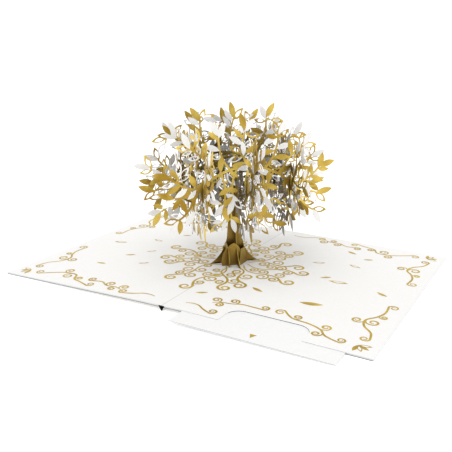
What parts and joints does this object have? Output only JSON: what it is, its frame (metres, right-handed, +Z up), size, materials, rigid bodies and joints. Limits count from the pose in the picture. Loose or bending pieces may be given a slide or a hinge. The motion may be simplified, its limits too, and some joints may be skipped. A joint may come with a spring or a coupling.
{
  "type": "pop-up card",
  "caption": "Open greeting card with a slotted paper tree standing across its fold, scroll-printed pages and a pull-out note slip in a pocket.",
  "frame": {"origin": "on the table under the middle of the spine, at the middle of the cover fold's bottom face", "axes": "+X across the spine to the page with the note slip, +Y along the spine to the rear edge, +Z up"},
  "size_m": [0.254, 0.1923, 0.1144],
  "materials": {
    "cover_card": "uncoated, lightly embossed",
    "page_card": "smooth matt with gold print",
    "note_card": "smooth matt",
    "gold_paper": "satin gold print, some leaves pearl white"
  },
  "bodies": {
    "card": {"cover": "cover_card", "liner": "page_card", "trunk_slice": "gold_paper", "crown_slice_front": "gold_paper", "crown_slice_rear": "gold_paper", "cross_trunk_slice": "gold_paper", "cross_slice_left": "gold_paper", "cross_slice_right": "gold_paper", "root_front": "gold_paper", "root_rear": "gold_paper", "cross_root_right": "gold_paper", "cross_root_left": "gold_paper", "root_web_left": "gold_paper", "root_web_right": "gold_paper"},
    "note": {"note_slip": "note_card"}
  },
  "joints": [
    {"name": "note_slide", "type": "slide", "parent": "card", "child": "note", "axis": [0, -1, 0], "range_m": [-0.0145, 0.13]}
  ]
}
